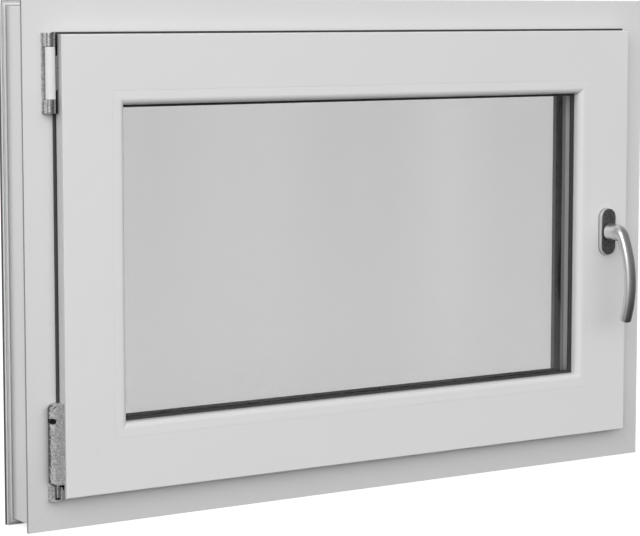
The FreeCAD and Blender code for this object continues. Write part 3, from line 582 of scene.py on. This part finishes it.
def satin_handle():
    finish = Finish("satin_handle", Metallic=1.0)
    colour, gloss = satin_grain(finish, dark=0.84, light=0.97, grain_size=0.3)
    return finish.shade(Base_Color=colour, Roughness=gloss)


ROSETTE_SHADED_FACE = (0.05 * MM, 0.30 * MM)
ROSETTE_FOOT = (3.0 * MM, 5.5 * MM)
ROSETTE_FOOT_SHADE = 0.30
ROSETTE_ARRIS = ((0.1 * MM, 0.4 * MM), (0.7 * MM, 1.2 * MM))
ROSETTE_ARRIS_TONE = 0.25
ROSETTE_SPECKLE = 0.82


def satin_rosette():
    """The rosette, its face painted darker as the shade of the dark room it mirrors, with painted
    shade at its foot by the sash and a darker ring behind its face.
    """
    finish = Finish("satin_rosette", Metallic=1.0)
    bright, gloss = satin_grain(finish, dark=0.80, light=0.96, grain_size=0.3)
    shaded_face, _ = satin_grain(finish, dark=0.34, light=0.50, grain_size=0.4)
    speckle = finish.grain(size=1.9, detail=3).rises(0.42, 0.62)
    shaded_face = finish.stain(shaded_face, speckle * 0.6, ROSETTE_SPECKLE)
    deep = finish.along("Y") - ROSETTE_FACE_Y
    # Painted shade at the rosette's foot, and below, its face painted darker as shade.
    colour = finish.stain(bright, deep.rises(*ROSETTE_FOOT) * 0.75, ROSETTE_FOOT_SHADE)
    near, far = ROSETTE_ARRIS
    colour = finish.stain(colour, deep.rises(*near) * deep.falls(*far) * 0.5, ROSETTE_ARRIS_TONE)
    colour = finish.blend(deep.falls(*ROSETTE_SHADED_FACE), colour, shaded_face)
    return finish.shade(Base_Color=colour, Roughness=gloss)


# Which finish goes where: by the slot of a piece, or a finish of its own for a single piece

SLOT_FINISH = {
    "clear_glass": clear_glass(),
    "spacer_aluminium": spacer_aluminium(),
    "edge_sealant": rubber("edge_sealant", dark=0.010, light=0.018),
    "black_gasket": rubber("black_gasket", dark=0.040, light=0.060),
    "brushed_steel": brushed_steel(),
    "cast_zinc": cast_zinc(),
    "satin_handle": satin_handle(),
    "black_bearing": black_bearing(),
    "white_cap": white_cap(),
}
LEVEL_SASH = sash_upvc("white_upvc_sash_level", LEVEL)
UPRIGHT_SASH = sash_upvc("white_upvc_sash_upright", UPRIGHT)
UPRIGHT_BEAD = upright_bead_upvc()
LEVEL_FRAME = frame_upvc("white_upvc_frame_level", LEVEL)
UPRIGHT_FRAME = frame_upvc("white_upvc_frame_upright", UPRIGHT)
OWN_FINISH = {
    "frame_sill": LEVEL_FRAME,
    "frame_head": LEVEL_FRAME,
    "frame_left_jamb": UPRIGHT_FRAME,
    "frame_right_jamb": UPRIGHT_FRAME,
    "sash_bottom_rail": LEVEL_SASH,
    "sash_top_rail": LEVEL_SASH,
    "sash_hinge_stile": hinge_stile_upvc(),
    "sash_lock_stile": UPRIGHT_SASH,
    "bottom_glazing_bead": level_bead_upvc("white_upvc_bead_bottom", BOTTOM_NOSE_SHADE),
    "top_glazing_bead": level_bead_upvc("white_upvc_bead_top", TOP_NOSE_LIGHT),
    "left_glazing_bead": UPRIGHT_BEAD,
    "right_glazing_bead": UPRIGHT_BEAD,
    # The outer gasket is painted darker than the other gaskets as the shade it lies in, with a
    # low IOR for weaker gloss.
    "outer_glazing_gasket": rubber("outer_gasket", 0.004, 0.008, DULL_RUBBER_IOR),
    "handle_rosette": satin_rosette(),
    "corner_bearing_bracket": bearing_zinc(),
    "top_hinge_arm": hinge_arm(),
}


# Rounded arrises and cast skins, added to the built pieces

def node_group(name):
    """An empty group of geometry nodes, and the geometry that comes into it."""
    tree = bpy.data.node_groups.new(name, "GeometryNodeTree")
    for direction in ("INPUT", "OUTPUT"):
        tree.interface.new_socket(
            "Geometry", in_out=direction, socket_type="NodeSocketGeometry"
        )
    graph = Graph(tree)
    return graph, graph.node("NodeGroupInput", {})


def hand_out(graph, geometry):
    graph.node("NodeGroupOutput", {}, geometry)
    return graph.tree


MITRE_NEAR = 0.02 * MM
MITRE_FAR = 0.06 * MM


def corner_joint_test(graph):
    """One where an edge lies in a mitre of the window's corners, nought elsewhere."""
    spot = graph.node("GeometryNodeInputPosition", {})
    x, z = [graph.node("ShaderNodeSeparateXYZ", {}, spot, output=axis) for axis in "XZ"]
    across = HALF_WIDTH - abs(x)
    inward = graph.smaller(z, HEIGHT - z)
    return abs(across - inward).falls(MITRE_NEAR, MITRE_FAR)


def smooth_group(angle):
    """Shade smooth, with creases kept where faces meet at more than the angle."""
    graph, start = node_group("smooth_by_angle")
    plain = graph.node(
        "GeometryNodeRemoveAttribute", {}, Geometry=start, Name="custom_normal"
    )
    faces = graph.node("GeometryNodeSetShadeSmooth", {}, Geometry=plain)
    bend = graph.node("GeometryNodeInputMeshEdgeAngle", {})
    flat = graph.node("FunctionNodeCompare", {"operation": "LESS_THAN"}, bend, angle)
    edges = graph.node(
        "GeometryNodeSetShadeSmooth", {"domain": "EDGE"}, Geometry=faces, Shade_Smooth=flat
    )
    return hand_out(graph, edges)


ANGLE_SOFT = 0.02


def arris_group(angle):
    """Give every edge that is to be rounded its weight: sharp ones, but no mitre."""
    graph, start = node_group("pick_arrises")
    bend = graph.node("GeometryNodeInputMeshEdgeAngle", {})
    sharp = bend.rises(angle - ANGLE_SOFT, angle + ANGLE_SOFT)
    weighted = graph.node(
        "GeometryNodeStoreNamedAttribute",
        {"data_type": "FLOAT", "domain": "EDGE"},
        Geometry=start,
        Name="bevel_weight_edge",
        Value=sharp * (1 - corner_joint_test(graph)),
    )
    return hand_out(graph, weighted)


def skin_group(height, size):
    """Push a fine mesh in and out by noise, for the uneven skin of a casting."""
    graph, start = node_group("casting_skin")
    spot = graph.node("GeometryNodeInputPosition", {})
    out = graph.node("GeometryNodeInputNormal", {})
    lumps = graph.node(
        "ShaderNodeTexNoise", {}, Vector=spot, Scale=1.0 / (size * MM), Detail=4.0
    )
    amount = (lumps - 0.5) * (2.0 * height * MM)
    push = graph.node("ShaderNodeVectorMath", {"operation": "SCALE"}, out, Scale=amount)
    moved = graph.node("GeometryNodeSetPosition", {}, Geometry=start, Offset=push)
    return hand_out(graph, moved)


SMOOTH = smooth_group(math.radians(35))
ARRIS = arris_group(math.radians(40))
SKIN = skin_group(height=0.45, size=2.4)
JOIN_WITHIN = 0.005 * MM
FLAT_WITHIN = math.radians(0.5)
ARRIS_SEGMENTS = 2


def add_modifier(piece, name, kind, **settings):
    modifier = piece.modifiers.new(name, kind)
    for key, value in settings.items():
        setattr(modifier, key, value)


def round_arrises(piece, width):
    """Join the faces, merge what is flat and round the edges by a width in millimetres."""
    add_modifier(piece, "weld", "WELD", merge_threshold=JOIN_WITHIN)
    add_modifier(
        piece, "merge_flats", "DECIMATE", decimate_type="DISSOLVE", angle_limit=FLAT_WITHIN
    )
    add_modifier(piece, "pick_arrises", "NODES", node_group=ARRIS)
    add_modifier(
        piece, "arris", "BEVEL",
        width=width * MM, segments=ARRIS_SEGMENTS, limit_method="WEIGHT",
    )
    add_modifier(piece, "smooth", "NODES", node_group=SMOOTH)
    add_modifier(piece, "flat_faces", "WEIGHTED_NORMAL", keep_sharp=True)


def cast_skin(piece, voxel):
    """Rebuild the piece as one fine skin of a voxel in millimetres, and roughen it."""
    add_modifier(piece, "weld", "WELD", merge_threshold=JOIN_WITHIN)
    add_modifier(
        piece, "fine_skin", "REMESH", mode="VOXEL", voxel_size=voxel * MM,
        use_smooth_shade=True,
    )
    add_modifier(piece, "casting_skin", "NODES", node_group=SKIN)


CAST_PIECES = {"corner_hinge_body": 0.45, "corner_bearing_bracket": 0.35}

ARRIS_WIDTHS = {
    "frame_sill": 0.35,
    "frame_head": 0.35,
    "frame_left_jamb": 0.35,
    "frame_right_jamb": 0.35,
    "sash_bottom_rail": 0.30,
    "sash_top_rail": 0.30,
    "sash_hinge_stile": 0.30,
    "sash_lock_stile": 0.30,
    "bottom_glazing_bead": 0.25,
    "top_glazing_bead": 0.25,
    "left_glazing_bead": 0.25,
    "right_glazing_bead": 0.25,
    "top_hinge_bracket": 0.40,
    "top_hinge_sleeve": 0.45,
    "top_hinge_arm": 0.60,
    "left_drain_cap": 0.40,
    "right_drain_cap": 0.40,
    "sash_seal": 0.80,
    "frame_seal": 0.60,
    "glass_spacer": 0.30,
}


def dress_nodes():
    for row in frame["record"]["subparts"]:
        name = row["node"]
        piece = frame["nodes"][name]
        piece.data.materials.clear()
        piece.data.materials.append(OWN_FINISH.get(name) or SLOT_FINISH[row["material_slot"]])
        if name in ARRIS_WIDTHS:
            round_arrises(piece, ARRIS_WIDTHS[name])
        if name in CAST_PIECES:
            cast_skin(piece, CAST_PIECES[name])


dress_nodes()


# Camera, found from the straight edges of the frame and the sash in the photograph

IMAGE_WIDTH = 640
SENSOR_WIDTH = 36.0
FOCAL_PIXELS = 2370.2
CAMERA_PLACE = Vector((-1.6241, -2.4297, 0.5893))
CAMERA_YAW = math.radians(33.461)
CAMERA_PITCH = math.radians(6.240)
NEAREST_SEEN = 0.05
FARTHEST_SEEN = 50.0


def add_camera():
    lens = bpy.data.cameras.new("camera")
    lens.sensor_width = SENSOR_WIDTH
    lens.lens = FOCAL_PIXELS / IMAGE_WIDTH * SENSOR_WIDTH
    lens.clip_start = NEAREST_SEEN
    lens.clip_end = FARTHEST_SEEN
    camera = bpy.data.objects.new("camera", lens)
    camera.location = CAMERA_PLACE
    camera.rotation_euler = Euler((math.radians(90) - CAMERA_PITCH, 0.0, -CAMERA_YAW), "XYZ")
    bpy.context.scene.collection.objects.link(camera)
    bpy.context.scene.camera = camera


add_camera()


# Studio: a pale floor, a dome of soft light that is dim below and on the right, one softbox.
# The tables give levels of light by the angle round the window, 0 in front of it and positive
# to the right, or by the height of a direction, from -1 straight down to 1 straight up.

SOFT_LIGHT = (
    (-180, 1.70),
    (-145, 1.60),
    (-120, 1.30),
    (-95, 1.25),
    (-70, 1.35),
    (-40, 2.00),
    (-10, 1.95),
    (20, 1.55),
    (45, 0.70),
    (90, 0.28),
    (115, 0.60),
    (145, 1.60),
    (180, 1.70),
)
MIRRORED_LIGHT = (
    (-180, 0.50),
    (-160, 0.90),
    (-139, 1.40),
    (-115, 0.60),
    (-98, 0.28),
    (-80, 0.50),
    (-58, 1.20),
    (-42, 0.60),
    (-26, 0.24),
    (-8, 0.16),
    (24, 0.10),
    (45, 0.10),
    (70, 0.14),
    (95, 0.24),
    (180, 0.50),
)
LIGHT_IN_PANES = (
    (-180, 0.40),
    (0, 0.30),
    (24, 0.12),
    (30.80, 0.08),
    (30.96, 0.85),
    (33.40, 0.85),
    (33.56, 0.06),
    (35.53, 0.06),
    (35.69, 1.25),
    (37.27, 1.25),
    (37.43, 0.04),
    (38.23, 0.04),
    (38.33, 0.70),
    (38.70, 0.70),
    (38.80, 0.04),
    (60, 0.10),
    (180, 0.40),
)
HEIGHT_OF_LIGHT = (
    (-1.0, 0.05),
    (-0.50, 0.06),
    (-0.15, 0.06),
    (-0.05, 0.14),
    (0.06, 0.95),
    (0.20, 1.55),
    (0.40, 1.25),
    (0.60, 0.65),
    (0.80, 0.35),
    (1.0, 0.20),
)
HEIGHT_OF_GLOSS = (
    (-1.0, 0.20),
    (-0.45, 0.35),
    (-0.15, 0.75),
    (0.05, 1.00),
    (0.30, 1.50),
    (0.60, 1.60),
    (1.0, 1.20),
)
HEIGHT_IN_PANES = (
    (-1.0, 0.05),
    (-0.25, 0.15),
    (-0.16, 0.40),
    (-0.08, 1.00),
    (1.0, 1.00),
)
FLOOR_IN_PANES = (
    (-1.0, 0.60),
    (-0.17, 1.70),
    (-0.05, 0.10),
    (0.0, 0.0),
)
PEAK = 2.0
DOME_STRENGTH = 1.015
GLOSS_STRENGTH = 0.80
PANE_STRENGTH = 1.25
SEEN_WHITE = 1.31
FLOOR_REACH = 60.0
FLOOR_TONE = 0.5
FLOOR_GLOW = 0.76
SOFTBOX_WATTS = 5.5
SOFTBOX_SIDE = 0.9
SOFTBOX_PLACE = Vector((-1.2, -1.2, 1.5))
SOFTBOX_AIM = Vector((0.0, 0.0, 0.3))


def add_floor():
    corners = [
        (x * FLOOR_REACH, y * FLOOR_REACH, 0.0) for x, y in ((-1, -1), (1, -1), (1, 1), (-1, 1))
    ]
    mesh = bpy.data.meshes.new("studio_floor")
    mesh.from_pydata(corners, [], [(0, 1, 2, 3)])
    floor = bpy.data.objects.new("studio_floor", mesh)
    bpy.context.scene.collection.objects.link(floor)
    finish = Finish("studio_floor", Roughness=0.9, Base_Color=grey(FLOOR_TONE))
    finish.shade(Emission_Color=grey(1.0), Emission_Strength=FLOOR_GLOW)
    mesh.materials.append(finish.material)
    floor.visible_diffuse = False
    floor.visible_glossy = False


def table_of_turns(graph, turns, table):
    """Levels by the angle round the window, held in a ramp as shares of the peak."""
    share = turns + 0.5
    return graph.ramp(share, [((angle + 180) / 360, level / PEAK) for angle, level in table])


def table_of_heights(graph, up, table):
    """Levels by the height of a direction, held in a ramp as shares of the peak."""
    share = up * 0.5 + 0.5
    return graph.ramp(share, [((height + 1) / 2, level / PEAK) for height, level in table])


def light_path(graph, way):
    return graph.node("ShaderNodeLightPath", {}, output=way)


def add_world():
    """White to look at, and three kinds of light: for matt skins, satin metal and panes."""
    world = bpy.data.worlds.new("studio")
    world.use_nodes = True
    graph = Graph(world.node_tree)
    direction = graph.node("ShaderNodeTexCoord", {}, output="Generated")
    x, y, z = [
        graph.node("ShaderNodeSeparateXYZ", {}, direction, output=axis) for axis in "XYZ"
    ]
    turns = graph.node("ShaderNodeMath", {"operation": "ARCTAN2"}, x, -1.0 * y) * (0.5 / math.pi)
    soft = table_of_turns(graph, turns, SOFT_LIGHT) * table_of_heights(graph, z, HEIGHT_OF_LIGHT)
    metal = table_of_turns(graph, turns, MIRRORED_LIGHT)
    metal = metal * table_of_heights(graph, z, HEIGHT_OF_GLOSS)
    panes = table_of_turns(graph, turns, LIGHT_IN_PANES)
    panes = panes * table_of_heights(graph, z, HEIGHT_IN_PANES) * (PEAK * PEAK * PANE_STRENGTH)
    panes = panes + table_of_heights(graph, z, FLOOR_IN_PANES) * PEAK
    soft = soft * (PEAK * PEAK * DOME_STRENGTH)
    metal = metal * (PEAK * PEAK * GLOSS_STRENGTH)
    mirrored = graph.smaller(light_path(graph, "Glossy Depth"), 1.0)
    seen = light_path(graph, "Is Camera Ray")
    seen = seen + light_path(graph, "Is Transmission Ray") * (1 - mirrored)
    gloss = mirrored * (1 - light_path(graph, "Is Diffuse Ray"))
    sharp = light_path(graph, "Is Singular Ray")
    mirror_light = metal * (1 - sharp) + panes * sharp
    studio = soft * (1 - gloss) + mirror_light * gloss
    background = world.node_tree.nodes["Background"]
    graph.feed(background.inputs["Strength"], studio * (1 - seen) + SEEN_WHITE * seen)
    graph.feed(background.inputs["Color"], grey(1.0))
    bpy.context.scene.world = world
    bpy.context.scene.view_settings.view_transform = "Standard"


def add_softbox():
    lamp = bpy.data.lights.new("softbox", "AREA")
    lamp.shape = "RECTANGLE"
    lamp.size = SOFTBOX_SIDE
    lamp.size_y = SOFTBOX_SIDE
    lamp.energy = SOFTBOX_WATTS
    softbox = bpy.data.objects.new("softbox", lamp)
    softbox.location = SOFTBOX_PLACE
    softbox.rotation_euler = (SOFTBOX_AIM - SOFTBOX_PLACE).to_track_quat("-Z", "Y").to_euler()
    bpy.context.scene.collection.objects.link(softbox)


add_floor()
add_world()
add_softbox()
